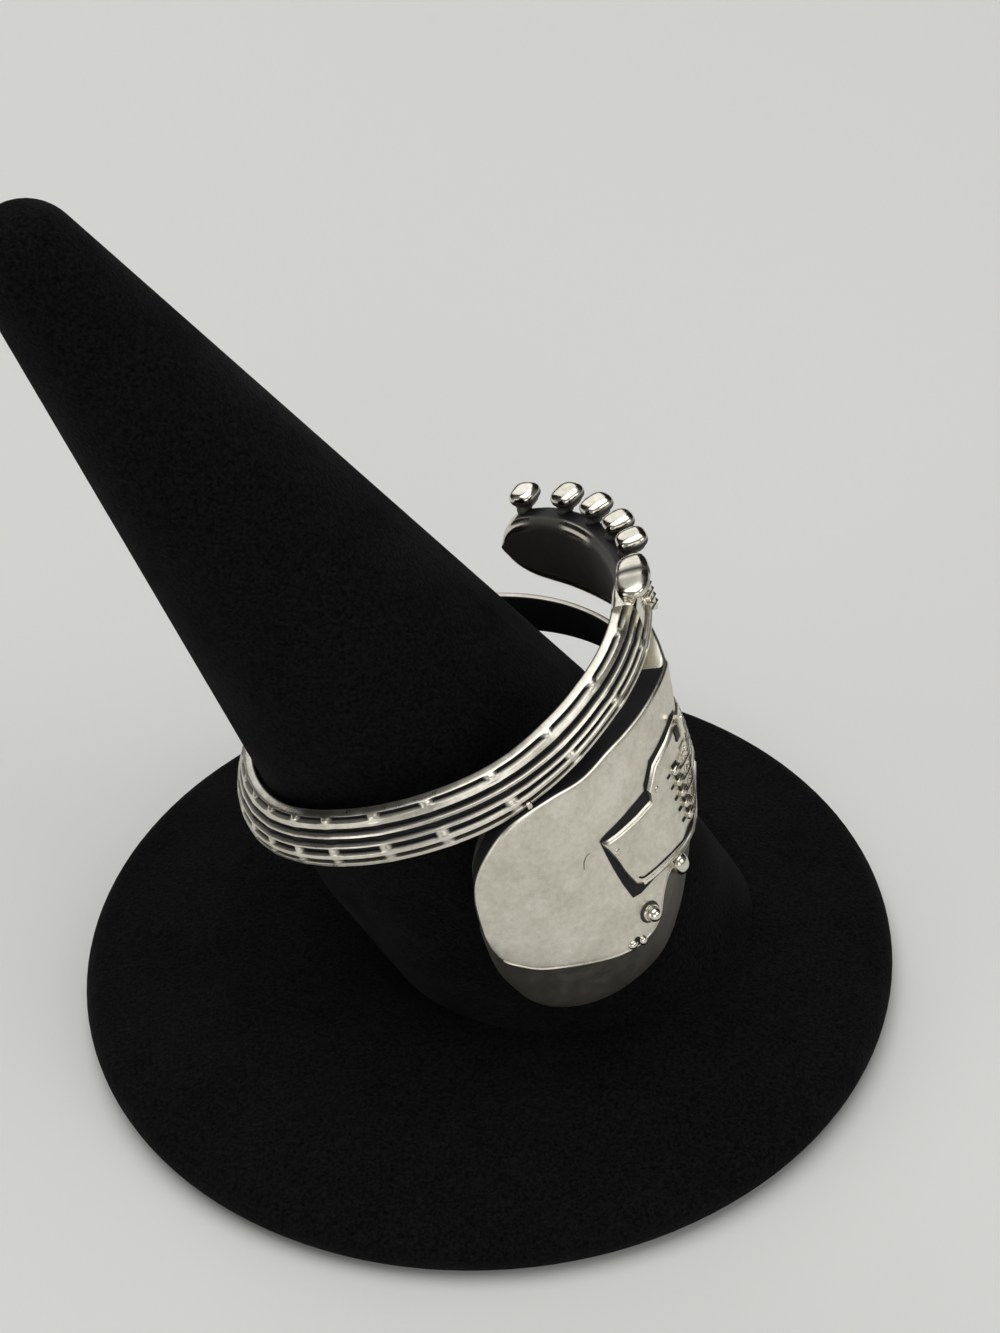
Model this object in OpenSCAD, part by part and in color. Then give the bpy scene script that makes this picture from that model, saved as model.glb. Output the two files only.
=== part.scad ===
// An open finger ring made of a small electric guitar that is wrapped round the finger,
// resting on a velvet-covered stand: a domed disc that carries a leaning tapered finger.
// Millimetres, +Z up. The origin is the centre of the disc's flat underside.

/* [Ring] */
// Inside diameter of the ring, US ring size 11 1/2
ring_bore_d = 20.98; // [20.8:0.01:21.4]
// How far the wrapped guitar climbs along the ring's axis in one turn
ring_rise = 8; // [7.6:0.1:8.4]
// Width of the guitar's neck
neck_w = 2.6; // [2.2:0.1:3]
// Thickness of the neck under the strings
neck_t = 1.3; // [1:0.05:1.5]
// Number of strings
string_count = 4; // [4:1:6]
// Height of the strings and frets above the neck
string_h = 0.38; // [0.34:0.02:0.44]
// How much lower the neck's face lies on the finger tip's side
neck_fall = 0.55; // [0.4:0.05:0.6]

/* [Guitar body] */
// Thickness of the guitar body at its flat face
body_t = 1.95; // [1.8:0.05:2.2]
// Thickness left at the foot of the body's wide bevel
body_edge_t = 0.65; // [0.5:0.05:0.9]
// Height of the raised plate above the face
plate_h = 0.3; // [0.25:0.01:0.32]
// Diameter of the control knobs
knob_d = 1.05; // [0.8:0.05:1.3]
// Number of saddles on the bridge
saddle_count = 5; // [4:1:6]

/* [Headstock] */
// Thickness of the headstock
head_t = 1.35; // [1.1:0.05:1.5]
// Thickness of a peg button along the ring's axis
peg_w = 0.88; // [0.7:0.02:0.9]
// Length of a peg button along the ring's radius
peg_deep = 1.9; // [1.5:0.05:1.9]

/* [Stand] */
// Diameter of the disc
disc_d = 45; // [44:0.5:50]
// Thickness of the disc at its middle
disc_t = 3.6; // [3.4:0.1:3.8]
// Thickness of the disc where its rounded rim begins
disc_rim_t = 2.5; // [2:0.1:3]
// Angle of the finger's axis from upright
finger_lean = 28; // [27:0.5:29]
// Length of the finger along its axis, up to the middle of its round tip
finger_len = 50; // [47:0.5:53]
// Radius of the finger at its foot
finger_foot_r = 9.1; // [8.9:0.05:9.1]
// Radius of the finger's round tip
tip_r = 2.78; // [2.5:0.02:3]

/* [Hidden] */

// Radius of the finger-side face of the ring
bore_r = ring_bore_d / 2;
// The ring's centre, and the tilt that its axis has on the stand: lean, its direction and the turn
ring_at = [-1.84, 0.62, 20.95];
ring_tilt = [15.1, 170.2, 112.6];
// Azimuths along the guitar, measured from the side nearest the front, past 360 on the second lap
bridge_az = 47.6;
nut_az = 435.7;
joint_az = 74;
step_az = 6;
// Fillet on the long edges of the neck and the head
edge_soft = 0.3;
// Body rows: azimuth, treble edge, treble crease, bass crease, bass edge, thickness of the top.
// Edges and creases are measured from the guitar's centre line, treble side negative.
BODY = [
    [-15.3, -2.9, -2.3, -1.3, -0.5, 0.66],
    [-14.4, -3.8, -1.8, 0.6, 1.7, 1.0],
    [-12.8, -4.6, -0.9, 1.5, 3.0, 1.6],
    [-11.6, -5.1, -1.15, 2.7, 3.5, 1.9],
    [-9, -5.9, -1.8, 4.0, 4.4, body_t],
    [-4, -6.75, -2.7, 5.35, 5.55, body_t],
    [3, -7.5, -3.5, 6.15, 6.3, body_t],
    [12, -8.0, -4.45, 6.35, 6.5, body_t],
    [18, -8.1, -4.95, 6.2, 6.4, body_t],
    [24, -8.1, -4.95, 6.05, 6.25, body_t],
    [30, -7.95, -4.2, 6.1, 6.3, body_t],
    [36, -7.5, -3.1, 6.1, 6.3, body_t],
    [42, -6.95, -3.0, 5.95, 6.2, body_t],
    [49, -6.25, -3.1, 5.8, 6.05, body_t],
    [58, -5.4, -3.2, 5.4, 5.75, body_t],
    [67, -4.65, -3.2, 5.2, 5.6, body_t],
    [70, -2.7, -2.4, 2.6, 2.9, 1.8],
    [joint_az, -neck_w / 2, -neck_w / 2 + edge_soft, neck_w / 2 - edge_soft, neck_w / 2, neck_t]];
// Horn rows: azimuth, edge on the neck's side, outer edge, thickness
BASS_HORN = [[61, 1.5, 4.6, 1.6], [66, 2.5, 5.1, 1.6], [69, 3.1, 5.6, 1.6], [72, 3.5, 5.75, 1.6], [78, 4.1, 5.65, 1.6],
    [84, 4.4, 5.2, 1.5], [87, 4.6, 4.95, 1.4]];
TREBLE_HORN = [[61, -1.5, -4.0, 1.3], [66, -2.1, -4.2, 1.3], [69, -2.3, -4.3, 1.3], [72, -2.6, -4.1, 1.3],
    [76, -2.9, -3.85, 1.25], [79, -3.15, -3.55, 1.2]];
// Plate rows: azimuth, treble edge, bass edge
PLATE = [[20.7, 1.9, 2.2], [23.4, -0.4, 2.1], [25.8, -1.75, 2.0], [31, -2.05, 1.9], [37, -2.25, 1.8], [37.6, -2.3, 2.5],
    [42, -2.5, 3.2], [48, -2.5, 3.4], [54, -2.4, 3.5], [61, -2.2, 3.2], [67, -1.9, 2.4]];
// Head rows: azimuth, treble edge and peg edge, both along the ring's axis from its middle
HEAD = [[426, 0.15, 2.8], [430, 0.2, 3.0], [434, 0.25, 2.95], [438, 0.3, 2.55], [447, -0.3, 2.3], [452, -1.5, 2.3],
    [458, -2.25, 2.3], [466, -2.65, 2.3], [476, -2.75, 2.25], [486, -2.6, 2.1], [492, -2.45, 1.9], [498, -2.05, 1.5],
    [502, -1.3, 0.85], [504.4, -0.55, 0.3]];
// Azimuths of the frets, from the nut to the body: the spaces narrow towards the body
FRETS = [418.2, 400.2, 382.2, 364.5, 346.5, 331.5, 316.5, 304.5, 292.5, 282, 272, 262.5, 254, 246, 238, 230, 222, 214.5,
    208, 202, 196, 190];
// Peg buttons: azimuth of the middle, its height along the axis, its height above the bore, length round the ring
PEGS = [[434, 2.95, 1.2, 3.5], [449, 2.95, 1.6, 1.7], [459.5, 2.95, 1.6, 1.7], [471, 2.9, 1.6, 1.7],
    [483.8, 2.75, 1.6, 1.7], [496.5, 2.3, 1.5, 1.6]];
// Azimuths of the pickups
PICKUPS = [54, 59.4, 64.2];
// Knobs and the jack: azimuth, distance from the centre line, share of the knobs' diameter
KNOBS = [[26, -3.75, 1], [38.6, -2.8, 1], [19.6, -4.5, 0.6]];
// Share of its height that the metal keeps, by azimuth: past the body's waist it is bent closer to the finger
KEPT = [[48, 1], [54, 0.88], [60, 0.74], [66, 0.64], [72, 0.6], [96, 0.6], [156, 1]];
// Radius of the disc's flat top, and of its rounded rim
disc_flat_r = 15;
disc_edge_r = disc_rim_t / 2;
// Where the finger's axis meets the disc's top, and how fast the finger tapers beyond its foot
finger_x = 4.5;
foot_len = 12;
taper = 9.35;
// Depth of the grooves between the strings, and how far the string field stays inside the neck's edges
groove = string_h - 0.05;
field_inset = 0.15;
// Height of the string tops above the plate, at the bridge and at the neck
over_bridge = 0.36;
over_neck = 0.32;
// How far saddles, pickups and the nut stand above the strings
saddle_rise = 0.12;
pickup_rise = 0.14;
nut_rise = 0.2;
// How far the metal of the strings and of the frets reaches down into the neck, as heights above the bore
string_root = 0.45;
fret_root = 0.35;
// Width of a fret, and how far round the ring the strings' steps lie from the common ones
fret_w = 0.32;
string_turn = 2;
// The short post that links the body to the neck above it: azimuth, distance from the centre line
link_az = 8.6;
link_shift = 6.65;
// Posts on the head's face: diameter, height and distance from the pegs
post_d = 0.6;
post_h = 0.35;
post_inset = 1.35;

// Straight-line value of a table's column at a place along its first column
function along(rows, place, column, i = 0) =
    i >= len(rows) - 2 || place <= rows[i + 1][0]
        ? rows[i][column] + (rows[i + 1][column] - rows[i][column])
            * max(0, min(1, (place - rows[i][0]) / (rows[i + 1][0] - rows[i][0])))
        : along(rows, place, column, i + 1);

// The common steps round the ring between two azimuths, a little apart from both
function steps(a, b) = [for (az = [ceil((a + 1.2) / step_az) * step_az : step_az : b - 1.2]) az];

// Places of a table's rows, with the common steps between them that keep the curve round the finger
function places(rows) = concat(
    [for (i = [0 : len(rows) - 2]) each concat([rows[i][0]], steps(rows[i][0], rows[i + 1][0]))],
    [rows[len(rows) - 1][0]]);

// Height of the guitar's centre line along the ring's axis
function middle(az) = ring_rise * (az - 360) / 360;

// Radius at a height above the bore
function radius(az, above) = bore_r + above * lookup(az, KEPT);

// A point of the wrapped guitar: azimuth, height along the axis and height above the bore
function wrapped(az, along_axis, above) = [radius(az, above) * cos(az), radius(az, above) * sin(az), along_axis];

// Half the neck's width: it narrows towards the head
function half_neck(az) = along([[322, neck_w / 2], [392, neck_w / 2 - 0.25]], az, 1);

// How much lower the face lies on the finger tip's side: the slope begins past the body and ends before the head
function fall(az) = along([[66, 0], [78, neck_fall], [402, neck_fall], [420, 0]], az, 1);

// Closed solid through sections that all have the same number of points
module skin(sections) {
    n = len(sections[0]);
    last = len(sections) - 1;
    polyhedron(
        points = [for (s = sections) each s],
        faces = concat(
            [[for (i = [0 : n - 1]) i]],
            [for (k = [0 : last - 1], i = [0 : n - 1])
                let (j = (i + 1) % n) each [[k * n + i, (k + 1) * n + i, k * n + j],
                    [(k + 1) * n + i, (k + 1) * n + j, k * n + j]]],
            [[for (i = [n - 1 : -1 : 0]) last * n + i]]),
        convexity = 8);
}

// Section of the body: flat on the finger's side, with a wide bevel down to its treble edge
function body_section(az) =
    let (m = middle(az), low = along(BODY, az, 1), low_top = along(BODY, az, 2), high_top = along(BODY, az, 3),
        high = along(BODY, az, 4), top = along(BODY, az, 5), edge = min(top - 0.02, body_edge_t),
        high_edge = az < joint_az - 1 ? max(edge, top - 0.35) : edge)
    [wrapped(az, m + low + 0.15, 0), wrapped(az, m + high - 0.15, 0), wrapped(az, m + high, 0.2),
        wrapped(az, m + high, high_edge), wrapped(az, m + high_top, top), wrapped(az, m + low_top, top),
        wrapped(az, m + low, edge), wrapped(az, m + low, 0.2)];

// Section of the bare neck and of the head: a flat strip with softened edges
function strip_section(az, low, high, top) =
    [wrapped(az, low + 0.2, 0), wrapped(az, high - 0.15, 0), wrapped(az, high, 0.2),
        wrapped(az, high, top - fall(az) - edge_soft), wrapped(az, high - edge_soft, top - fall(az)),
        wrapped(az, low + edge_soft, top), wrapped(az, low, top - edge_soft), wrapped(az, low, edge_soft)];

// The guitar from tail to head in one sweep: body, neck, head
module guitar_form() {
    body_places = [for (az = places(BODY)) if (az < joint_az) az];
    neck_places = concat([joint_az], steps(joint_az, HEAD[0][0]));
    skin(concat(
        [for (az = body_places) body_section(az)],
        [for (az = neck_places) strip_section(az, middle(az) - half_neck(az), middle(az) + half_neck(az), neck_t)],
        [for (az = places(HEAD)) strip_section(az, along(HEAD, az, 1), along(HEAD, az, 2), head_t)]));
}

// A slab of the body's layer, such as a horn or the plate, between two tabled edges
module slab(rows, bottom, top, bevel, thickness_column = 0) {
    skin([for (az = places(rows))
        let (m = middle(az), a = along(rows, az, 1), b = along(rows, az, 2),
            low = m + min(a, b), high = m + max(a, b), ease = min(bevel, (high - low) * 0.4),
            crown = thickness_column > 0 ? along(rows, az, thickness_column) : top)
        [wrapped(az, low, bottom), wrapped(az, high, bottom), wrapped(az, high, crown - ease),
            wrapped(az, high - ease, crown), wrapped(az, low + ease, crown), wrapped(az, low, crown - ease)]]);
}

// Half width of the string field: wider over the body than on the neck
function field(az) = az < joint_az
    ? along([[bridge_az, 1.75], [joint_az, neck_w / 2 - field_inset]], az, 1)
    : half_neck(az) - field_inset;

// Height of the strings above the bore, highest over the plate
function string_top(az) = along([[bridge_az, body_t + plate_h + over_bridge],
    [64, body_t + plate_h + over_neck], [78, neck_t + string_h]], az, 1);

// Strings from the bridge to the nut, as one comb of ridges between two rails
module strings() {
    ridges = string_count + 2;
    lines = concat([bridge_az], [for (az = steps(bridge_az - string_turn, nut_az - string_turn)) az + string_turn],
        [nut_az]);
    skin([for (az = lines)
        let (m = middle(az), half = field(az), pitch = 2 * half / (ridges - 0.5))
        concat(
            [wrapped(az, m - half, string_root), wrapped(az, m + half, string_root),
                wrapped(az, m + half, string_top(az) - fall(az) - groove)],
            [for (k = [0 : ridges - 1], place = k < ridges - 1 ? [0.12, 0.42, 0.77] : [0.12, 0.42])
                let (t = half - (k + place) * pitch,
                    crest = string_top(az) - fall(az) * (t + half) / (2 * half))
                wrapped(az, m + t, place > 0.5 ? crest - groove : crest)],
            [wrapped(az, m - half, string_top(az) - groove)])]);
}

// A bar with a crowned top across the guitar: pickup, saddle or nut
module bar(az, width, half, bottom, top, shift = 0) {
    soft = 0.12;
    high = radius(az, top) - radius(az, bottom);
    rotate([0, 0, az]) translate([radius(az, bottom), 0, middle(az) + shift]) hull() {
        translate([0, -width / 2, -half]) cube([high - soft, width, 2 * half]);
        translate([0, -width / 4, -half]) cube([high, width / 2, 2 * half]);
    }
}

// A fret: a thin bar that shows between the strings and slopes with the neck's face
module fret(az) {
    half = half_neck(az) - 0.26;
    crown = neck_t + string_h * 0.8;
    rotate([0, 0, az]) translate([0, 0, middle(az)]) rotate([90, 0, 0]) linear_extrude(fret_w, center = true)
        polygon([[radius(az, fret_root), -half], [radius(az, fret_root), half], [radius(az, crown - fall(az)), half],
            [radius(az, crown), -half]]);
}

// Round knob that stands on the wrapped face
module knob(az, shift, diameter, bottom, height) {
    rotate([0, 0, az]) translate([bore_r + bottom, 0, middle(az) + shift]) rotate([0, 90, 0]) {
        cylinder(d = diameter, h = height, $fn = 12);
        translate([0, 0, height - 0.01]) cylinder(d1 = diameter, d2 = diameter * 0.55, h = 0.26, $fn = 12);
    }
}

// Tuning peg: a rounded button on a short stem at the edge of the head
module peg(az, height, above, long) {
    stem_d = 0.58;
    stem_len = 1.3;
    rotate([0, 0, az]) {
        hull() for (side = [-1, 1], deep = [-1, 1])
            translate([bore_r + above + deep * (peg_deep - peg_w) / 2, side * (long - peg_w) / 2, height])
                sphere(d = peg_w, $fn = 10);
        translate([bore_r + head_t * 0.6, 0, height - stem_len]) cylinder(d = stem_d, h = stem_len, $fn = 8);
    }
}

// The whole ring in its own axes
module ring_form() {
    guitar_form();
    slab(BASS_HORN, 0.05, 0, 0.3, 3);
    slab(TREBLE_HORN, 0.05, 0, 0.3, 3);
    slab(PLATE, body_t - 0.4, body_t + plate_h, 0.22);
    strings();
    for (az = FRETS) fret(az);
    bar(nut_az, 0.5, neck_w / 2, 0.9, neck_t + string_h + nut_rise);
    for (az = PICKUPS) bar(az, 0.7, 1.95, body_t, string_top(az) + pickup_rise);
    for (k = [0 : saddle_count - 1])
        bar(bridge_az, 0.8, 0.25, body_t, body_t + plate_h + over_bridge + saddle_rise,
            1.45 - 2.9 * k / (saddle_count - 1));
    bar(link_az, 0.34, 0.5, 0.7, 1.52, link_shift);
    for (k = KNOBS) knob(k[0], k[1], knob_d * k[2], body_t - 0.6, 1.1 * k[2]);
    for (p = PEGS) {
        peg(p[0], p[1], p[2], p[3]);
        knob(p[0], p[1] - post_inset - middle(p[0]), post_d, head_t - 0.3, post_h);
    }
}

module ring() {
    color("lightgray") translate(ring_at) rotate([0, ring_tilt[0], ring_tilt[1]]) rotate([0, 0, ring_tilt[2]])
        ring_form();
}

// Disc: a flat middle, a gentle fall to the rim and a round edge
module stand_disc() {
    color([0.05, 0.05, 0.055]) rotate_extrude($fn = 96) {
        difference() {
            union() {
                polygon([[0, 0], [disc_d / 2 - disc_edge_r, 0], [disc_d / 2 - disc_edge_r, disc_rim_t],
                    [disc_flat_r, disc_t], [0, disc_t]]);
                translate([disc_d / 2 - disc_edge_r, disc_edge_r]) circle(r = disc_edge_r, $fn = 32);
            }
            translate([-disc_d, -disc_d]) square([disc_d, 2 * disc_d]);
        }
    }
}

// Finger: a leaning tapered post with a round tip, cut flat where it stands on the disc
module stand_finger() {
    reach = 8;
    color([0.05, 0.05, 0.055]) difference() {
        translate([finger_x, 0, disc_t]) rotate([0, -finger_lean, 0]) rotate_extrude($fn = 96) {
            polygon([[0, -reach], [finger_foot_r, -reach], [finger_foot_r, 2], [finger_foot_r - 0.15, foot_len],
                [tip_r * cos(taper), finger_len + tip_r * sin(taper)], [0, finger_len + tip_r * sin(taper)]]);
            intersection() {
                translate([0, finger_len]) circle(r = tip_r, $fn = 48);
                translate([0, finger_len]) square(2 * tip_r);
            }
        }
        translate([-disc_d, -disc_d, disc_t - 2 * disc_d]) cube(2 * disc_d);
    }
}

ring();
stand_disc();
stand_finger();
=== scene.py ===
"""Looks of the guitar ring on its stand: satin and polished steel, blackened in its hollows and with painted
shade, on black velvet.

Sizes are millimetres and degrees in the ring's own axes, unless a name says otherwise. A place on the ring is
an azimuth round it, a height along its axis and a height above the bore. wrapped() turns it into the frame.
"""

import math

import bmesh
import bpy
import numpy as np
from mathutils import Matrix, Vector


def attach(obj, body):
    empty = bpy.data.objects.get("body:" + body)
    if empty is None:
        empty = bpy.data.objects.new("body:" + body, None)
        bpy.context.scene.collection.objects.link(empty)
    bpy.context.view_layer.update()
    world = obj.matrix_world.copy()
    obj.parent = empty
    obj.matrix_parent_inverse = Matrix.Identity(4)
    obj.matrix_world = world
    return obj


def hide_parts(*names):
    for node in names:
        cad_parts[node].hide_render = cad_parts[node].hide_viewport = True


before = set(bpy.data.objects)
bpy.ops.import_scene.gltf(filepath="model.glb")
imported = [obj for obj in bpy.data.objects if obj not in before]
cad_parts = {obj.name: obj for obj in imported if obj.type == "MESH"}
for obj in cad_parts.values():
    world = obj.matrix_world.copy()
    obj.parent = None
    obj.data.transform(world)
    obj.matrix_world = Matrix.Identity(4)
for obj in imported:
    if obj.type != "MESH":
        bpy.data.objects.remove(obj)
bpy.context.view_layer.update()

MM = 0.001
BORE_R = 10.49
# How far the wrapped guitar climbs along the ring's axis in one turn
RISE = 8.0
# The ring's centre, and how it lies on the stand: its axis leans towards a heading, and it is spun about it
RING_AT = np.array([-1.84, 0.62, 20.95])
RING_LEAN, RING_HEADING, RING_SPIN = 15.1, 170.2, 112.6
RING_AXES = np.array(
    Matrix.Rotation(math.radians(RING_HEADING), 3, "Z")
    @ Matrix.Rotation(math.radians(RING_LEAN), 3, "Y")
    @ Matrix.Rotation(math.radians(RING_SPIN), 3, "Z")
)

# Heights above the bore
BODY_T = 1.95
BODY_EDGE_T = 0.65
PLATE_TOP = 2.28
NECK_T = 1.62
NUT_TOP = 1.86
HEAD_T = 1.4
# How deep the plate reaches into the body, how far the strings run above the plate, and their radius
PLATE_ROOT = 0.3
STRINGS_OVER_PLATE = 0.24
STRING_R = 0.07

# Azimuths along the guitar, past 360 on the second lap
LINK_AZ = 8.6
BRIDGE_AZ = 47.6
PICKUPS = (54, 59.5, 65)
NECK_FROM, NECK_TO = 70.0, 433.0
NUT_AZ = 435.7
FRETS = (418.5, 400.5, 382.5, 364.5, 346.5, 331.5, 316.5, 304.5, 292.5, 282, 272, 262.5, 254, 246, 238, 230,
         222, 214.5, 208, 202, 196, 190)

# Share of its height that the metal keeps past the body's waist, where it is bent closer to the finger. The
# bend starts sooner or later across the body, by so many degrees a millimetre from the height KEPT_AT.
KEPT = ((50, 1), (55, 0.97), (60, 0.8), (64, 0.68), (69, 0.59), (76, 0.56))
KEPT_AT = -5
KEPT_SKEW_TREBLE, KEPT_SKEW_BASS = 2.0, 3.0
# Along the neck the full height comes back from the first azimuth on, over so many degrees
FULL_FROM, FULL_OVER, FULL_BY = 95, 60, 160

# Grooves between the strings: share of the neck's half width, half width, how far a fret fills them
GROOVES = ((-0.74, 0.07, 0.8), (-0.39, 0.105, 0.9), (-0.07, 0.115, 0.3), (0.32, 0.13, 0.3), (0.82, 0.09, 1.0))
GROOVE_DEPTH = 0.3
# Frets: half length round the ring and slant across half the neck, both in degrees, and their height
FRET_HALF, FRET_SKEW, FRET_RISE = 1.8, 1.7, 0.02
# Neck rows: azimuth, half width on the body's side, half width on the finger tip's side
NECK_SIDES = ((70, 1.3, 1.15), (300, 1.4, 1.06), (317, 1.48, 1.08), (332, 1.43, 1.12), (355, 1.4, 1.12),
              (364, 1.34, 1.1), (372, 1.17, 1.15), (381, 1.05, 1.22), (391, 0.98, 1.15), (433, 0.95, 1.0))
# How far the neck strays from its even climb: azimuth, shift along the ring's axis
NECK_SWAY = ((235, 0), (250, -0.12), (262, -0.25), (272, -0.35), (280, -0.4), (286, -0.42), (292, -0.4),
             (298, -0.33), (306, -0.2), (318, -0.05), (335, -0.05), (347, -0.1), (357, -0.18), (370, -0.24),
             (380, -0.2), (396, 0))
# Neck's face, from the body's side to the tip's side: share of the half width, height above the bore
NECK_CROWN = ((-1, 1.5), (-0.96, 1.58), (-0.74, 1.6), (-0.39, 1.5), (-0.07, 1.27), (0.32, 0.97), (0.6, 0.84),
              (0.82, 0.73), (0.91, 0.6), (0.96, 0.45), (1.0, 0.16))
# Neck's back, from the tip's side to the body's side: share of the half width, height above the bore,
# painted shade, dark where the wall and back would mirror the black velvet
NECK_BACK = ((1.0, 0.08, 1.0), (0.99, 0.04, 1.0), (0.93, 0.01, 1.0), (0.85, 0.0, 1.0), (-0.85, 0.0, 1.0),
             (-0.93, 0.05, 1.0), (-0.99, 0.2, 0.4), (-1.0, 0.4, 0.2), (-1.0, 1.2, 0.0))

# Body rails from the tail's tip to the neck: azimuth and height of the treble edge, the treble crease,
# the bass crease and the bass edge
BODY_RAILS = (
    (-14.9, -8.2, -12.7, -7.7, -12.7, -7.6, -13.0, -7.6),
    (-15.3, -9.6, -12.5, -8.6, -12.4, -6.6, -12.8, -6.55),
    (-15.0, -11.3, -10.8, -9.6, -11.4, -5.3, -11.7, -5.2),
    (-12.6, -12.8, -7.8, -10.2, -9.2, -4.15, -9.5, -4.0),
    (-9.6, -13.95, -3.9, -10.8, -5.3, -2.98, -5.5, -2.86),
    (-4.2, -14.85, 1.6, -11.3, 0.0, -1.97, -0.1, -1.88),
    (3.5, -15.45, 8.6, -11.9, 6.0, -1.5, 6.0, -1.42),
    (12.5, -15.7, 15.5, -12.4, 14.0, -1.34, 14.0, -1.27),
    (22.0, -15.6, 22.0, -12.55, 22.5, -1.44, 22.5, -1.37),
    (30.0, -15.27, 27.8, -12.05, 31.1, -1.16, 31.1, -1.1),
    (38.5, -14.4, 31.8, -10.85, 38.0, -1.14, 38.0, -1.08),
    (44.0, -13.8, 36.0, -10.1, 44.0, -1.16, 44.0, -1.1),
    (49.5, -13.1, 44.0, -10.0, 49.5, -1.2, 49.5, -1.13),
    (58.0, -12.05, 56.0, -9.9, 58.0, -1.32, 58.0, -1.22),
    (66.0, -11.1, 66.0, -9.7, 66.0, -1.5, 66.0, -1.4),
)
# Painted shade on the bevel and on the side towards the finger, where they would mirror the dark velvet
BEVEL_SHADE = 0.72
BACK_SHADE = 0.9
# Steep bevel on the bass side: share of the way from crease to edge, depth under the face, painted shade
BASS_BEVEL = ((0.3, 0.03, 0.0), (0.7, 0.09, 0.0), (0.95, 0.17, 1.0), (1.0, 0.28, 1.0))
# Wall under it: height above the bore, painted shade; the bare rows between make a thin painted highlight
BASS_WALL = ((0.62, 1.0), (0.5, 0.0), (0.3, 0.0), (0.18, BACK_SHADE))
# Stretch of the treble crease that carries a raised cord, as azimuths
CREASE_CORD = (-11, 62)
# Horn rails: azimuth, height of the side by the neck, height of the outer side, thickness
BASS_HORN = ((60, -5.2, -1.4, 1.9), (64, -4.4, -1.28, 1.9), (68, -3.5, -1.05, 1.85), (73, -2.85, -0.75, 1.8),
             (78, -2.3, -0.6, 1.75), (82, -1.95, -0.68, 1.65), (85.5, -1.55, -0.85, 1.5),
             (87, -1.2, -1.1, 1.4))
TREBLE_HORN = ((60, -8.0, -11.6, 1.5), (64, -8.4, -11.2, 1.5), (68, -8.8, -10.75, 1.45),
               (72, -9.0, -10.35, 1.4), (75.5, -9.2, -10.1, 1.35), (78, -9.4, -9.9, 1.25),
               (79.2, -9.55, -9.7, 1.2))
HORN_BEVEL = 0.3
# Plate rails: azimuth, height of the lower edge, height of the upper edge
PLATE = ((20.7, -5.45, -5.3), (21.6, -6.1, -5.36), (22.5, -6.8, -5.4), (23.5, -7.97, -5.42),
         (25.0, -9.0, -5.44), (26.4, -9.22, -5.45), (31.3, -9.33, -5.44), (36.9, -9.42, -5.41),
         (37.3, -9.43, -4.75), (41.6, -9.5, -3.85), (48.8, -9.4, -3.61), (55.0, -9.2, -3.4),
         (62.0, -8.9, -3.6), (66.5, -8.6, -4.0))
# Dark groove round the plate, near-black for its oxide and for painted shade of the plate's step: azimuth,
# height of the lower edge, height of the upper edge
SKIRT = ((20.6, -5.55, -5.28), (20.9, -6.5, -5.22), (21.2, -7.2, -5.18), (22.0, -8.5, -5.14),
         (23.2, -9.65, -5.08), (25.5, -9.75, -5.02), (31.3, -9.6, -4.84), (36.8, -9.6, -4.72),
         (37.3, -9.6, -4.4), (41.6, -9.65, -3.56), (48.8, -9.55, -3.36), (55.0, -9.3, -3.15),
         (62.0, -9.0, -3.35), (66.5, -8.7, -3.75))
# Side of a slab, from its foot up: share of the bevel inwards, share of the bevel under its top
SLAB_SIDE = ((0.0, 1.0), (0.25, 0.45), (0.65, 0.1))

# Saddles on the bridge: how many, height of the first, step to the next
SADDLES, SADDLE_FIRST, SADDLE_STEP = 5, -5.35, 0.74
# Magnet poles of a pickup: how many, height of the first from the centre line, step to the next
POLES, POLE_FIRST, POLE_STEP = 6, -1.6, 0.64
# Azimuth and height of the knobs, the screws and the switch's slot
FACE_KNOB = (26.0, -11.2)
EDGE_KNOB = (38.6, -10.15)
PLATE_SCREWS = ((23.2, -6.3), (39.5, -5.1), (60, -4.3))
SWITCH_SLOT = (53.2, -4.0)
# Beads of the jack: azimuth, height, height above the bore, radii outwards, round the ring and along its
# axis, blackening
JACK = ((18.9, -12.3, BODY_T, (0.22, 0.3, 0.26), 0.0), (21.6, -12.45, BODY_T, (0.26, 0.26, 0.3), 0.0),
        (20.3, -12.3, BODY_T - 0.05, (0.16, 0.24, 0.3), 1.0))
# Bent wire beside the slot, and the scratch on the face: azimuth, height, height above the bore
WIRE = ((55.0, -4.6, PLATE_TOP), (55.4, -4.2, PLATE_TOP + 0.1), (55.4, -3.6, PLATE_TOP + 0.1),
        (54.8, -3.2, PLATE_TOP))
SCRATCH = ((14.5, -6.2, BODY_T + 0.03), (15.1, -5.8, BODY_T + 0.05), (16.1, -5.55, BODY_T + 0.04),
           (17.3, -5.5, BODY_T + 0.02))

# Head rails: azimuth, height of the lower edge, height of the peg edge
HEAD = ((424, 0.1, 2.72), (428, 0.1, 2.85), (432, 0.15, 2.9), (436, 0.2, 2.7), (441, 0.1, 2.4),
        (446, -0.35, 2.3), (452, -1.45, 2.3), (458, -2.25, 2.3), (466, -2.65, 2.3), (476, -2.75, 2.25),
        (486, -2.6, 2.1), (492, -2.45, 1.9), (496, -2.25, 1.7), (499, -1.95, 1.45), (501.3, -1.55, 1.1),
        (503, -1.05, 0.65), (504, -0.55, 0.2), (504.4, -0.2, 0.0))
HEAD_ROUND = 0.42
# Azimuths between which the peg edge carries painted shade, and how dark the painted shade on the head's back
# is
HEAD_SHADE_FROM, HEAD_SHADE_TO = 433, 498
HEAD_BACK_SHADE = 0.95
# Painted shade on the rim between the peg edge and the back, by azimuth; its bare stretches make two painted
# highlights
RIM_SHADE = ((432, 0), (434, 0.9), (463, 0.9), (467, 0), (476, 0), (480, 0.9), (491, 0.9), (495, 0))
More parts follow.
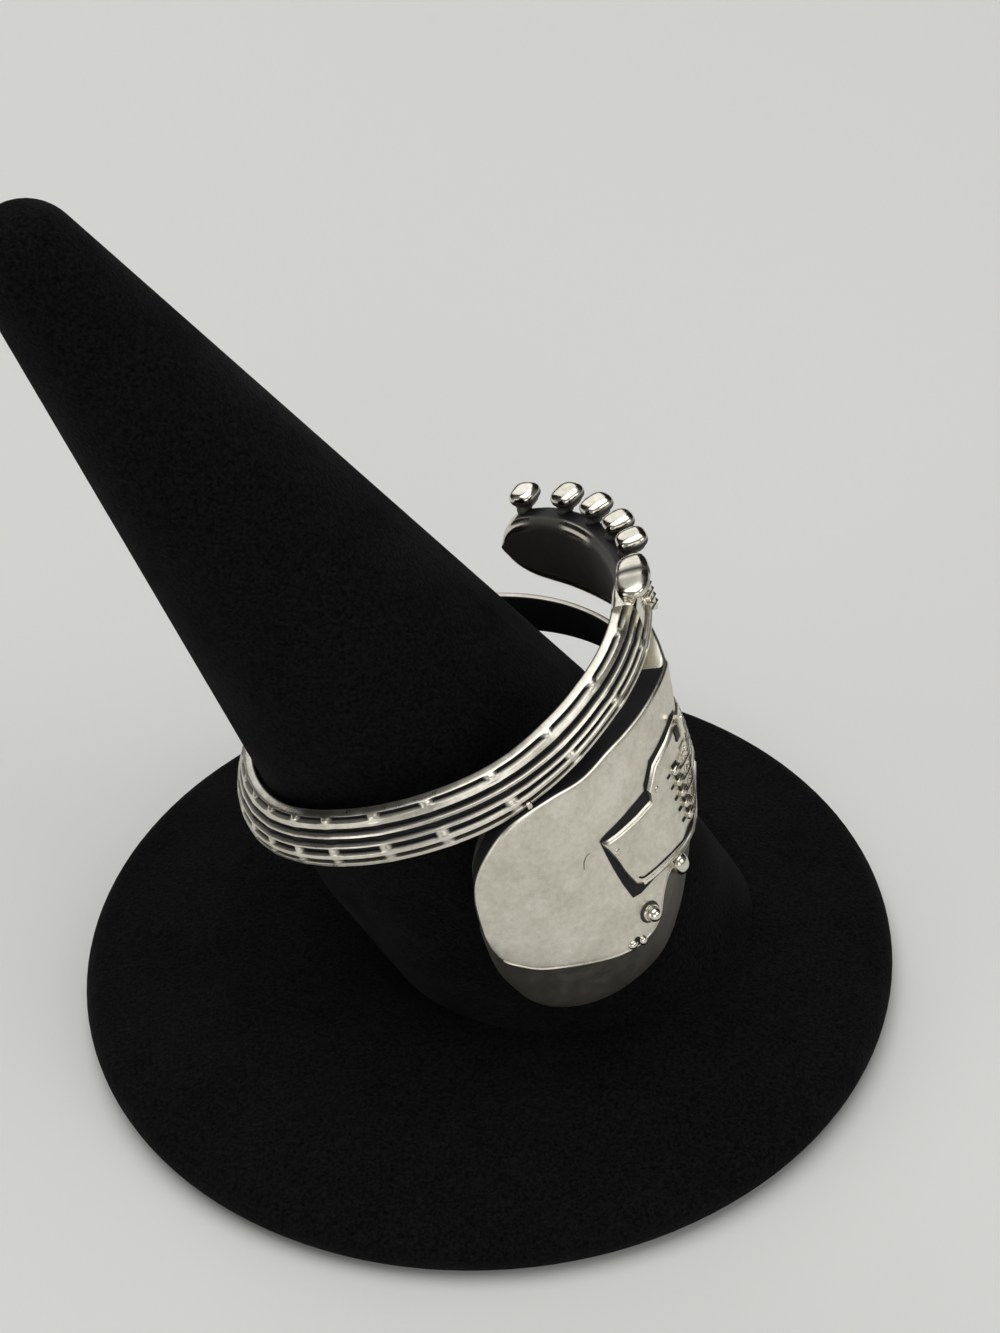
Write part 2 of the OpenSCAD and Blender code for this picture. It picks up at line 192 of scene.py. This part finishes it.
# Pegs: azimuth, height, height above the bore, half length round the ring, half length along its radius,
# painted shade on the underside
PEGS = ((434, 2.95, 1.2, 1.75, 0.9, 0.0), (449.5, 2.95, 1.6, 0.76, 0.84, 0.97),
        (459, 2.95, 1.6, 0.76, 0.84, 0.97), (470, 2.95, 1.6, 0.76, 0.88, 0.97),
        (481.8, 2.8, 1.6, 0.8, 0.88, 0.97), (496.5, 2.35, 1.6, 0.78, 0.84, 0.97))
PEG_HALF_W = 0.44
PEG_POWER = 2.8
# Painted reflection of dark bands across the long first peg: share of its half length, half width as such a
# share, how dark
FIRST_PEG_REFLECTION_BANDS = ((0.0, 0.15, 1.0), (-0.5, 0.24, 0.5))
# How far the posts on the head's face stand below the buttons
POST_DROP = 1.5
# Step along the strings over the head, in degrees
HEAD_STRING_STEP = 3

# Edges sharper than this show as edges, in degrees
SHARP_ANGLE = 38
STEEL_DULL = (0.62, 0.585, 0.49, 1)
STEEL_CLEAR = (0.82, 0.785, 0.685, 1)
# Near-black for oxide in hollows and for painted shade
SHADE_AND_OXIDE_BLACK = (0.008, 0.008, 0.009, 1)
TABLE_PALE = (0.72, 0.72, 0.70, 1)
TABLE_SIZE_M = 3.0

# Lights: name, place, aim, width in metres, power in watts
LIGHTS = (
    ("ceiling", (-0.05, 0.06, 0.55), (0, 0, 0.01), 0.60, 2.3),
    ("back", (-0.22, 0.62, 0.40), (0, 0, 0.02), 0.50, 0.9),
    ("front", (0.08, -0.48, 0.12), (0, 0, 0.02), 0.34, 0.42),
    ("window", (0.40, -0.25, 0.30), (0, -0.02, 0.01), 0.30, 0.5),
    ("left", (-0.45, -0.25, 0.12), (0, 0, 0.02), 0.30, 0.4),
)
ROOM_GREY = (0.80, 0.80, 0.80, 1)
# The room's light fades from the viewer's side to the far side, between these directions along Y
ROOM_FADE = (-0.3, 0.4)
ROOM_NEAR, ROOM_FAR = 0.34, 0.015

# Camera: place in metres, how far it looks down and how far it is rolled, in radians, and its focal length
CAMERA_AT = (0.001665, -0.11995, 0.120245)
CAMERA_DOWN, CAMERA_ROLL = 0.68829, -0.06322
FOCAL_PX, PHOTO_TALL_PX = 3000, 1333
SENSOR_MM = 36


def mix(a, b, share):
    """Value on the way from a to b."""
    return a + (b - a) * share


def tabled(place, rows, column=1):
    """Straight-line value of a table's column at a place along its first column."""
    return np.interp(place, [row[0] for row in rows], [row[column] for row in rows])


def bump(x, centre, width, power=4):
    """Smooth bump of height 1."""
    return np.exp(-np.abs((x - centre) / width) ** power)


def middle(az):
    """Height of the guitar's centre line along the ring's axis."""
    return RISE * (np.asarray(az, float) - 360) / 360


def saddle_height(k):
    """Height of a saddle along the ring's axis."""
    return SADDLE_FIRST - SADDLE_STEP * k


def kept(az, height):
    """Share of its height above the bore that the metal keeps."""
    skew = np.where(height < KEPT_AT, KEPT_SKEW_TREBLE, KEPT_SKEW_BASS)
    share = tabled(az + skew * (KEPT_AT - height), KEPT)
    return np.where(az < FULL_BY, mix(share, 1, np.clip((az - FULL_FROM) / FULL_OVER, 0, 1)), 1)


def wrapped(az, height, above):
    """Ring coordinates to the frame, in metres."""
    az, height, above = np.broadcast_arrays(np.asarray(az, float), height, above)
    r = BORE_R + above * kept(az, height)
    az = np.radians(az)
    local = np.stack([r * np.cos(az), r * np.sin(az), height], -1)
    return (local @ RING_AXES.T + RING_AT) * MM


def smooth_rows(rows, steps):
    """Catmull-Rom curve through a table's rows, with so many steps to a row."""
    rows = np.asarray(rows, float)
    ends = np.vstack([2 * rows[0] - rows[1], rows, 2 * rows[-1] - rows[-2]])
    u = np.linspace(0, 1, steps, endpoint=False)[:, None]
    spans = []
    for a, b, c, d in zip(ends, ends[1:], ends[2:], ends[3:]):
        square, cube = 2 * a - 5 * b + 4 * c - d, 3 * b - a - 3 * c + d
        spans.append(0.5 * (2 * b + (c - a) * u + square * u**2 + cube * u**3))
    return np.vstack(spans + [rows[-1:]])


def mark_sharp(mesh, angle):
    """Smooth shading that breaks at edges sharper than the angle, in degrees."""
    form = bmesh.new()
    form.from_mesh(mesh)
    bmesh.ops.remove_doubles(form, verts=form.verts, dist=2e-7)
    bmesh.ops.recalc_face_normals(form, faces=form.faces)
    limit = math.radians(angle)
    for face in form.faces:
        face.smooth = True
    for edge in form.edges:
        edge.smooth = len(edge.link_faces) == 2 and edge.calc_face_angle(0) < limit
    form.to_mesh(mesh)
    form.free()


class Form:
    """Vertices, faces and darkening, for oxide and painted shade, that several shapes add up to."""

    def __init__(self):
        self.points, self.faces, self.dark, self.count = [], [], [], 0

    def add(self, points, faces, dark=0.0):
        """Adds faces over their own points. The darkening, oxide and painted shade alike, is one number or
        one for each point.
        """
        points = np.asarray(points, float).reshape(-1, 3)
        self.points.append(points)
        self.faces += [tuple(int(i) + self.count for i in f) for f in faces]
        self.dark.append(np.broadcast_to(np.asarray(dark, float).reshape(-1), (len(points),)).copy())
        self.count += len(points)

    def grid(self, points, dark=0.0, caps=True):
        """Adds a skin over an array of sections, each of them a loop, with or without its end faces."""
        n, m = points.shape[:2]
        own = np.arange(n * m).reshape(n, m)
        across = np.roll(own, -1, 1)
        quads = np.stack([own[:-1], own[1:], across[1:], across[:-1]], -1).reshape(-1, 4).tolist()
        if caps:
            quads += [own[0].tolist(), own[-1][::-1].tolist()]
        self.add(points, quads, dark)

    def make(self, name):
        """Turns it all into one object, with its darkening, oxide and painted shade alike, in a point
        attribute.
        """
        mesh = bpy.data.meshes.new(name)
        mesh.from_pydata(np.vstack(self.points).tolist(), [], self.faces)
        attribute = mesh.attributes.new("oxide_and_shade", "FLOAT", "POINT")
        attribute.data.foreach_set("value", np.concatenate(self.dark))
        mark_sharp(mesh, SHARP_ANGLE)
        piece = bpy.data.objects.new(name, mesh)
        bpy.context.scene.collection.objects.link(piece)
        return piece


def dome(form, az, height, above, radii, dark=0.0, rings=10, sides=20, power=2.0, under=0.0, bands=()):
    """Rounded bead with radii outwards, round the ring and along its axis. A power over 2 squares it off.

    Its underside can be darkened with painted shade, and bands of painted reflection laid across it: share
    of its half length, half width as such a share, how dark.
    """
    lat = np.linspace(-math.pi / 2, math.pi / 2, rings + 1)[:, None]
    lon = np.linspace(0, 2 * math.pi, sides, endpoint=False)[None, :]
    bend = lambda v: np.sign(v) * np.abs(v) ** (2 / power)
    out = bend(np.sin(lat)) * radii[0] + 0 * lon
    turn = bend(np.cos(lat)) * bend(np.cos(lon)) * radii[1]
    rise = bend(np.cos(lat)) * bend(np.sin(lon)) * radii[2]
    shade = np.maximum(dark, under * np.clip(0.95 - rise / (0.3 * radii[2]), 0, 1))
    for place, width, depth in bands:
        shade = np.maximum(shade, depth * bump(turn / radii[1], place, width))
    az = az + np.degrees(turn / (BORE_R + above))
    form.grid(wrapped(az, height + rise, above + out), shade, caps=False)


def soft_side(low, high, soft):
    """Rows of a straight side that ends in a softened edge: height, inset."""
    return (low, 0), (high - soft, 0), (high - soft * 0.3, soft * 0.3), (high, soft)


def block(form, az, height, low, high, long, wide, dark=0.0, soft=0.08):
    """Box with softened upper edges on the wrapped face: long round the ring, wide along its axis."""
    sections = []
    for rise, inset in soft_side(low, high, soft):
        a, b = long / 2 - inset, wide / 2 - inset
        corner = min(soft, a, b) * 0.8
        loop = [(-a + corner, -b), (a - corner, -b), (a, -b + corner), (a, b - corner), (a - corner, b),
                (-a + corner, b), (-a, b - corner), (-a, -b + corner)]
        sections.append([(az + math.degrees(x / (BORE_R + rise)), height + y, rise) for x, y in loop])
    s = np.array(sections)
    form.grid(wrapped(s[..., 0], s[..., 1], s[..., 2]), dark)


def post(form, az, height, low, high, radius, dark=0.0, sides=16, soft=0.08):
    """Round stud that stands on the wrapped face."""
    turn = np.linspace(0, 2 * math.pi, sides, endpoint=False)
    sections = []
    for rise, inset in soft_side(low, high, soft) + ((high, radius * 0.7),):
        r = radius - inset
        round_az = az + np.degrees(r * np.cos(turn) / (BORE_R + rise))
        sections.append(wrapped(round_az, height + r * np.sin(turn), rise))
    form.grid(np.array(sections), dark)


def cord(form, path, radius, dark=0.0, sides=8):
    """Round wire along rows of azimuth, height and height above the bore."""
    path = np.asarray(path, float)
    line = wrapped(path[:, 0], path[:, 1], path[:, 2])
    ahead = np.gradient(line, axis=0)
    ahead /= np.linalg.norm(ahead, axis=1)[:, None]
    up = wrapped(path[:, 0], path[:, 1], path[:, 2] + 1) - line
    side = np.cross(ahead, up)
    side /= np.linalg.norm(side, axis=1)[:, None]
    up = np.cross(side, ahead)
    turn = np.linspace(0, 2 * math.pi, sides, endpoint=False)[None, :, None]
    loops = line[:, None] + radius * MM * (np.cos(turn) * side[:, None] + np.sin(turn) * up[:, None])
    form.grid(loops, dark)


def slab(form, rails, low, high=None, bevel=0.25, dark=0.0, smooth=True, across=10):
    """Slab on the wrapped face between two tabled edges. Without a height, a fourth column gives its top."""
    rows = smooth_rows(rails, 6) if smooth else np.asarray(rails, float)
    az, a, b = rows[:, 0], np.minimum(rows[:, 1], rows[:, 2]), np.maximum(rows[:, 1], rows[:, 2])
    top = rows[:, 3] if high is None else np.full(len(rows), high)
    foot = np.full(len(rows), low)
    ease = np.minimum(bevel, (b - a) * 0.42)
    columns = [(a, foot)] + [(a + ease * inward, top - bevel * down) for inward, down in SLAB_SIDE]
    columns += [(a + ease + (b - a - 2 * ease) * k, top) for k in np.linspace(0, 1, across)]
    columns += [(b - ease * inward, top - bevel * down) for inward, down in reversed(SLAB_SIDE)] + [(b, foot)]
    form.grid(np.stack([wrapped(az, height, above) for height, above in columns], 1), dark)


def body_form(form):
    """Body in one skin between four rails: a wide bevel to its treble edge, a steep one to its bass edge."""
    rails = smooth_rows(BODY_RAILS, 12)
    treble, treble_crease, bass_crease, bass = (rails[:, i : i + 2] for i in (0, 2, 4, 6))
    foot = mix(treble, treble_crease, 0.06)
    bevel_rise = BODY_T - 0.02 - BODY_EDGE_T
    # Each column carries its painted shade: dark on the bevels, on the bass wall and on the side towards the
    # finger
    columns = [(foot, 0.0, 0.0), (treble, 0.14, 0.0), (treble, BODY_EDGE_T - 0.08, 0.0)]
    columns += [(mix(treble, treble_crease, 0.02), BODY_EDGE_T, BEVEL_SHADE)]
    columns += [(mix(treble, treble_crease, k), BODY_EDGE_T + bevel_rise * k**0.94, BEVEL_SHADE)
                for k in np.linspace(0.08, 0.95, 7)]
    columns += [(mix(treble, treble_crease, 0.985), BODY_T - 0.02, 0.0)]
    columns += [(mix(treble_crease, bass_crease, 0.004), BODY_T, 0.0)]
    columns += [(mix(treble_crease, bass_crease, k), BODY_T + 0.05 * math.sin(math.pi * k), 0.0)
                for k in np.linspace(0.03, 0.97, 22)]
    columns += [(mix(treble_crease, bass_crease, 0.995), BODY_T, 0.0)]
    columns += [(mix(bass_crease, bass, share), BODY_T - down, dark) for share, down, dark in BASS_BEVEL]
    columns += [(bass, above, dark) for above, dark in BASS_WALL]
    columns += [(mix(mix(bass, bass_crease, 0.3), foot, k), 0.0, BACK_SHADE) for k in np.linspace(0, 0.94, 14)]
    points = np.stack([wrapped(place[:, 0], place[:, 1], above) for place, above, dark in columns], 1)
    form.grid(points, np.tile([dark for place, above, dark in columns], (len(rails), 1)))
    crease = treble_crease[(treble_crease[:, 0] > CREASE_CORD[0]) & (treble_crease[:, 0] < CREASE_CORD[1])]
    cord(form, [(az, height - 0.02, BODY_T - 0.03) for az, height in crease], radius=0.075)


def horns_form(form):
    """The two horns, one on each side of the neck."""
    slab(form, BASS_HORN, 0.0, bevel=HORN_BEVEL)
    slab(form, TREBLE_HORN, 0.0, bevel=HORN_BEVEL)


def plate_form(form):
    """Raised plate with its dark outline, a rim along its lower edge and a dark line beside the rim."""
    foot = BODY_T - PLATE_ROOT
    # The skirt is near-black for the groove's oxide and for painted shade of the plate's step
    slab(form, SKIRT, foot, BODY_T + 0.11, bevel=0.03, dark=1.0, smooth=False, across=24)
    slab(form, PLATE, foot, PLATE_TOP, bevel=0.24, smooth=False, across=14)
    rim = smooth_rows([(az, low + 0.1, PLATE_TOP - 0.03) for az, low, high in PLATE[5:]], 6)
    cord(form, rim, radius=0.13)
    groove = smooth_rows([(az + 1.0, low + 0.42, PLATE_TOP - 0.03) for az, low, high in PLATE[4:]], 6)
    cord(form, groove, radius=0.07, dark=1.0)


def bridge_form(form):
    """Saddles in a dark slot, and a dark tick below each of them."""
    saddles_az = BRIDGE_AZ + 0.2
    block(form, saddles_az, -6.8, BODY_T, PLATE_TOP + 0.02, long=0.5, wide=3.7, dark=1.0, soft=0.01)
    for k in range(SADDLES):
        height = saddle_height(k)
        dome(form, saddles_az, height, PLATE_TOP + 0.03, radii=(0.16, 0.42, 0.21), power=3)
        block(form, BRIDGE_AZ - 3.0, height + 0.1, BODY_T, PLATE_TOP + 0.01, long=0.3, wide=0.14, dark=1.0,
              soft=0.005)


def pickups_form(form):
    """Three pickups with their magnet poles."""
    for az in PICKUPS:
        centre = float(middle(az))
        block(form, az, centre, BODY_T, PLATE_TOP + 0.08, long=0.95, wide=3.9)
        for k in range(POLES):
            height = centre + POLE_FIRST + POLE_STEP * k
            post(form, az, height, PLATE_TOP, PLATE_TOP + 0.16, radius=0.15, sides=12, soft=0.05)


def controls_form(form):
    """Knob on the face with its dark foot, knob on the edge, and the jack."""
    post(form, *FACE_KNOB, BODY_T - 0.5, BODY_T + 0.12, radius=0.62, dark=0.95)
    post(form, *FACE_KNOB, BODY_T - 0.5, BODY_T + 0.24, radius=0.5)
    dome(form, *FACE_KNOB, BODY_T + 0.34, radii=(0.42, 0.42, 0.42), rings=12)
    dome(form, *EDGE_KNOB, BODY_T + 0.12, radii=(0.5, 0.5, 0.62), rings=14, power=2.4)
    for az, height, above, radii, dark in JACK:
        dome(form, az, height, above, radii, dark=dark)


def trim_form(form):
    """Screws, the switch's slot with the wire beside it, the post that links body and neck, and a scratch."""
    for az, height in PLATE_SCREWS:
        post(form, az, height, PLATE_TOP - 0.1, PLATE_TOP + 0.06, radius=0.2)
    block(form, *SWITCH_SLOT, BODY_T, PLATE_TOP + 0.03, long=0.5, wide=0.75, dark=1.0, soft=0.02)
    cord(form, WIRE, radius=0.13)
    block(form, LINK_AZ, -1.35, 0.6, 1.75, long=0.3, wide=0.75)
    cord(form, SCRATCH, radius=0.035, dark=0.7)


def strings_form(form):
    """Strings over the body, from the saddles to the neck."""
    share = np.linspace(0, 1, 24)
    az = mix(BRIDGE_AZ, NECK_FROM + 6, share)
    fall = np.clip((az - 66) / 12, 0, 1) ** 1.2
    above = mix(PLATE_TOP + STRINGS_OVER_PLATE, NECK_T - 0.12, fall)
    for k in range(SADDLES):
        end = middle(az) + 0.86 - 0.43 * k
        cord(form, np.stack([az, mix(saddle_height(k), end, share), above], 1), STRING_R, sides=10)


def neck_form(form):
    """Neck with its string ridges and frets in one relief. Its face slopes down to the finger tip's side."""
    az = np.arange(NECK_FROM, NECK_TO + 0.1, 0.6)[:, None]
    share = np.concatenate([np.linspace(-1, 0.9, 86), np.linspace(0.92, 1, 7)])[None, :]
    fret = sum(bump(az + FRET_SKEW * share, place, FRET_HALF) for place in FRETS)
    depth, dark = 0, 0
    for centre, half_width, fill in GROOVES:
        bare = 1 - fill * fret
        depth = depth + GROOVE_DEPTH * (bump(share, centre, half_width, 8) * bare)
        dark = dark + 2.5 * np.clip(bump(share, centre, half_width * 1.06, 10) * bare - 0.1, 0, 1)
    face = tabled(share, NECK_CROWN) - depth + FRET_RISE * fret * (share < 0.6)
    # The back's rows carry painted shade
    back_share, back_above, back_shade = np.array(NECK_BACK).T
    across = np.hstack([share, back_share[None, :]])
    above = np.hstack([face, np.tile(back_above, (len(az), 1))])
    shade = np.hstack([np.clip(dark, 0, 1), np.tile(back_shade, (len(az), 1))])
    half = np.where(across < 0, tabled(az, NECK_SIDES, 1), tabled(az, NECK_SIDES, 2))
    form.grid(wrapped(az, middle(az) + tabled(az, NECK_SWAY) + across * half, above), shade)


def head_form(form):
    """Headstock: a flat strip with well rounded edges and a rounded end."""
    rows = smooth_rows(HEAD, 8)
    az, low, high = rows.T
    r = np.minimum(HEAD_ROUND, (high - low) * 0.3)
    flat = high - low - 2 * r
    quarter = [(1 - math.sin(k), 1 - math.cos(k)) for k in np.linspace(0, math.pi / 2, 5)]
    lower_edge = [(low + r * s, r * c) for s, c in quarter]
    lower_edge += [(low + r * c, HEAD_T - r * s) for s, c in quarter]
    face = [(low + r + flat * k, HEAD_T + 0 * az) for k in np.linspace(0.1, 0.9, 8)]
    peg_edge = [(high - r * s, HEAD_T - r * c) for s, c in quarter]
    peg_edge += [(high - r * c, r * s) for s, c in quarter]
    back = [(high - r - flat * k, 0 * az) for k in np.linspace(0.1, 0.9, 8)]
    columns = lower_edge + face + peg_edge + back
    points = np.stack([wrapped(az, height, above) for height, above in columns], 1)
    edge_at = len(lower_edge + face)
    back_at = edge_at + len(peg_edge)
    past_nut = az > HEAD_SHADE_FROM
    # Painted shade on the peg edge, the rim and the back; the rim's bare stretches are painted highlights
    shade = np.zeros(points.shape[:2])
    shade[past_nut & (az < HEAD_SHADE_TO), edge_at + 2 : edge_at + 8] = 1.0
    shade[:, back_at - 4 : back_at + 2] = tabled(az, RIM_SHADE)[:, None]
    shade[past_nut, back_at:] = HEAD_BACK_SHADE
    shade[~past_nut, back_at + 2 :] = HEAD_BACK_SHADE
    form.grid(points, shade)


def pegs_form(form):
    """Six rounded buttons on the head's edge, each on a short stem, with a post on the head's face."""
    for k, (az, height, above, half_long, half_deep, under) in enumerate(PEGS):
        # Each button's underside, its core and its stem carry painted shade; the first button carries painted
        # reflection bands
        dome(form, az, height, above, (half_deep, half_long, PEG_HALF_W), power=PEG_POWER, rings=28, sides=44,
             under=under, bands=() if k else FIRST_PEG_REFLECTION_BANDS)
        core = (half_deep * 0.8, half_long * 0.8, 0.34)
        dome(form, az, height - 0.3, above - 0.05, core, dark=0.85, power=PEG_POWER)
        dome(form, az, height - 0.6, 1.2, radii=(0.55, 0.4, 0.4), dark=0.9)
        post(form, az, height - POST_DROP, HEAD_T - 0.1, HEAD_T + 0.1, radius=0.42)
        post(form, az, height - POST_DROP, HEAD_T, HEAD_T + 0.32, radius=0.22)


def nut_form(form):
    """Nut, and the strings from it to the posts of the last five pegs."""
    centre = float(middle(NUT_AZ))
    block(form, NUT_AZ, centre - 0.05, 0.9, NUT_TOP, long=0.5, wide=2.3)
    for k, peg in enumerate(PEGS[1:]):
        az, end = peg[0], peg[1] - POST_DROP
        start = centre + 0.8 - 0.4 * k
        path = []
        for i in range(int((az - NUT_AZ) / HEAD_STRING_STEP) + 1):
            gone = HEAD_STRING_STEP * i - HEAD_STRING_STEP
            share = max(0, gone) / (az - NUT_AZ)
            path.append((NUT_AZ + gone, mix(start, end, share), NUT_TOP + 0.04 if i == 1 else NECK_T))
        cord(form, path + [(az, end, 1.6)], STRING_R)


def node(tree, kind, **inputs):
    """New shader node with its inputs set. An input is a plain value or another node's output."""
    made = tree.nodes.new(kind)
    for name, value in inputs.items():
        socket = made.inputs[name.replace("_", " ")]
        if isinstance(value, bpy.types.NodeSocket):
            tree.links.new(value, socket)
        else:
            socket.default_value = value
    return made


def noise(tree, place, scale, detail, rough=0.5):
    """Noise texture's output."""
    texture = node(tree, "ShaderNodeTexNoise", Vector=place, Scale=scale, Detail=detail, Roughness=rough)
    return texture.outputs["Fac"]


def ranged(tree, value, low, high, at_low=0.0, at_high=1.0):
    """Output that runs between two numbers while the value runs from low to high."""
    spread = node(tree, "ShaderNodeMapRange", Value=value, From_Min=low, From_Max=high, To_Min=at_low,
                  To_Max=at_high)
    return spread.outputs["Result"]


def mixed_colour(tree, share, a, b):
    """Colour on the way from a to b, each of them a plain colour or another node's output."""
    blend = tree.nodes.new("ShaderNodeMix")
    blend.data_type = "RGBA"
    for name, value in (("Factor", share), ("A", a), ("B", b)):
        if isinstance(value, bpy.types.NodeSocket):
            tree.links.new(value, blend.inputs[name])
        else:
            blend.inputs[name].default_value = value
    return blend.outputs["Result"]


def new_material(name):
    """Material with its tree, its shader and the object coordinates' output."""
    material = bpy.data.materials.new(name)
    material.use_nodes = True
    tree = material.node_tree
    place = tree.nodes.new("ShaderNodeTexCoord").outputs["Object"]
    return material, tree, tree.nodes["Principled BSDF"], place


def steel_material(name, smooth, rough):
    """Stainless steel, blackened by the attribute for oxide and painted shade, with fine scratches and a soft
    haze.
    """
    material, tree, shader, place = new_material(name)
    link = tree.links.new
    oxide_and_shade_node = tree.nodes.new("ShaderNodeAttribute")
    oxide_and_shade_node.attribute_name = "oxide_and_shade"
    oxide_and_shade = oxide_and_shade_node.outputs["Fac"]

    cloud = noise(tree, place, scale=420.0, detail=5.0, rough=0.65)
    grain = noise(tree, place, scale=3200.0, detail=4.0, rough=0.6)
    blotch = node(tree, "ShaderNodeMix", Factor=0.4, A=cloud, B=grain).outputs["Result"]
    bare = mixed_colour(tree, ranged(tree, blotch, 0.38, 0.62), STEEL_DULL, STEEL_CLEAR)
    # Oxide and painted shade: the steel turns near-black as the attribute rises
    link(mixed_colour(tree, oxide_and_shade, bare, SHADE_AND_OXIDE_BLACK), shader.inputs["Base Color"])

    haze = noise(tree, place, scale=1400.0, detail=6.0, rough=0.7)
    darker = node(tree, "ShaderNodeMath")
    darker.operation = "MULTIPLY_ADD"
    link(oxide_and_shade, darker.inputs[0])
    darker.inputs[1].default_value = 0.3
    link(ranged(tree, haze, 0.35, 0.68, smooth, rough), darker.inputs[2])
    link(darker.outputs["Value"], shader.inputs["Roughness"])

    swell = noise(tree, place, scale=500.0, detail=1.0)
    wave = node(tree, "ShaderNodeBump", Strength=0.6, Distance=0.00003, Height=swell)
    stretch = node(tree, "ShaderNodeMapping", Vector=place, Rotation=(0.3, 0.5, 0.6), Scale=(900, 9000, 2500))
    scratch = noise(tree, stretch.outputs["Vector"], scale=1.0, detail=6.0, rough=0.65)
    relief = node(tree, "ShaderNodeBump", Strength=0.12, Distance=0.000015, Height=scratch,
                  Normal=wave.outputs["Normal"])
    link(relief.outputs["Normal"], shader.inputs["Normal"])

    link(ranged(tree, oxide_and_shade, 0.74, 0.9, 1.0, 0.0), shader.inputs["Metallic"])
    shader.inputs["Specular IOR Level"].default_value = 0.25
    return material


def velvet_material():
    """Black velvet flock: a deep dark pile with a faint sheen and fine uneven nap."""
    material, tree, shader, place = new_material("black_velvet")
    link = tree.links.new
    pile = noise(tree, place, scale=5200.0, detail=3.0, rough=0.7)
    nap = noise(tree, place, scale=260.0, detail=5.0, rough=0.6)
    shade = ranged(tree, pile, 0.35, 0.72, 0.0015, 0.009)
    tint = node(tree, "ShaderNodeCombineColor", Red=shade, Green=shade, Blue=shade)
    link(tint.outputs["Color"], shader.inputs["Base Color"])
    relief = node(tree, "ShaderNodeBump", Strength=0.9, Distance=0.00012, Height=pile)
    link(relief.outputs["Normal"], shader.inputs["Normal"])
    link(ranged(tree, nap, 0.3, 0.7, 0.004, 0.03), shader.inputs["Sheen Weight"])
    shader.inputs["Sheen Roughness"].default_value = 0.5
    shader.inputs["Roughness"].default_value = 0.95
    shader.inputs["Specular IOR Level"].default_value = 0.03
    return material


def table_material():
    """Pale matt table top."""
    material = bpy.data.materials.new("pale_table")
    material.use_nodes = True
    shader = material.node_tree.nodes["Principled BSDF"]
    shader.inputs["Base Color"].default_value = TABLE_PALE
    shader.inputs["Roughness"].default_value = 0.75
    return material


def make_ring():
    """The ring's five pieces, each a form that some functions add up to."""
    satin = steel_material("satin_steel", smooth=0.26, rough=0.36)
    bright = steel_material("polished_steel", smooth=0.1, rough=0.2)
    for name, material, builders in (
        ("guitar_body", satin, (body_form, horns_form)),
        ("guitar_plate", satin, (plate_form,)),
        ("guitar_fittings", bright, (bridge_form, pickups_form, controls_form, trim_form, strings_form)),
        ("guitar_neck", satin, (neck_form,)),
        ("guitar_head", bright, (head_form, pegs_form, nut_form)),
    ):
        form = Form()
        for build in builders:
            build(form)
        piece = form.make(name)
        piece.data.materials.append(material)
        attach(piece, "root")
        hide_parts("ring")


def cover_stand():
    """Velvet on the stand's disc and cone."""
    velvet = velvet_material()
    for name in ("stand_disc", "stand_finger"):
        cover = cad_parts[name]
        cover.data.materials.clear()
        cover.data.materials.append(velvet)


def make_table():
    """Plain table top under the stand."""
    bpy.ops.mesh.primitive_plane_add(size=TABLE_SIZE_M, location=(0, 0, 0))
    floor = bpy.context.object
    floor.name = "table"
    floor.data.materials.append(table_material())


def make_room():
    """Soft grey room light that fades towards the far side."""
    world = bpy.data.worlds.new("soft_room")
    bpy.context.scene.world = world
    world.use_nodes = True
    tree = world.node_tree
    sky = tree.nodes["Background"]
    sky.inputs["Color"].default_value = ROOM_GREY
    toward = tree.nodes.new("ShaderNodeTexCoord").outputs["Generated"]
    split = node(tree, "ShaderNodeSeparateXYZ", Vector=toward)
    strength = ranged(tree, split.outputs["Y"], *ROOM_FADE, ROOM_NEAR, ROOM_FAR)
    tree.links.new(strength, sky.inputs["Strength"])


def make_light(name, place, aim, size, power):
    """Square area light that looks at its aim."""
    lamp = bpy.data.lights.new(name, "AREA")
    lamp.size = size
    lamp.energy = power
    holder = bpy.data.objects.new(name, lamp)
    holder.location = place
    holder.rotation_euler = (Vector(aim) - Vector(place)).to_track_quat("-Z", "Y").to_euler()
    bpy.context.scene.collection.objects.link(holder)


def make_camera():
    """Camera at the photo's place, with its focal length given in the photo's pixels."""
    optics = bpy.data.cameras.new("photo_camera")
    optics.sensor_width = SENSOR_MM
    optics.lens = SENSOR_MM * FOCAL_PX / PHOTO_TALL_PX
    optics.clip_start = 0.01
    camera = bpy.data.objects.new("photo_camera", optics)
    camera.matrix_world = (
        Matrix.Translation(CAMERA_AT)
        @ Matrix.Rotation(math.pi / 2 - CAMERA_DOWN, 4, "X")
        @ Matrix.Rotation(CAMERA_ROLL, 4, "Z")
    )
    bpy.context.scene.collection.objects.link(camera)
    bpy.context.scene.camera = camera
    bpy.context.scene.view_settings.view_transform = "Standard"


make_ring()
cover_stand()
make_table()
make_room()
for row in LIGHTS:
    make_light(*row)
make_camera()
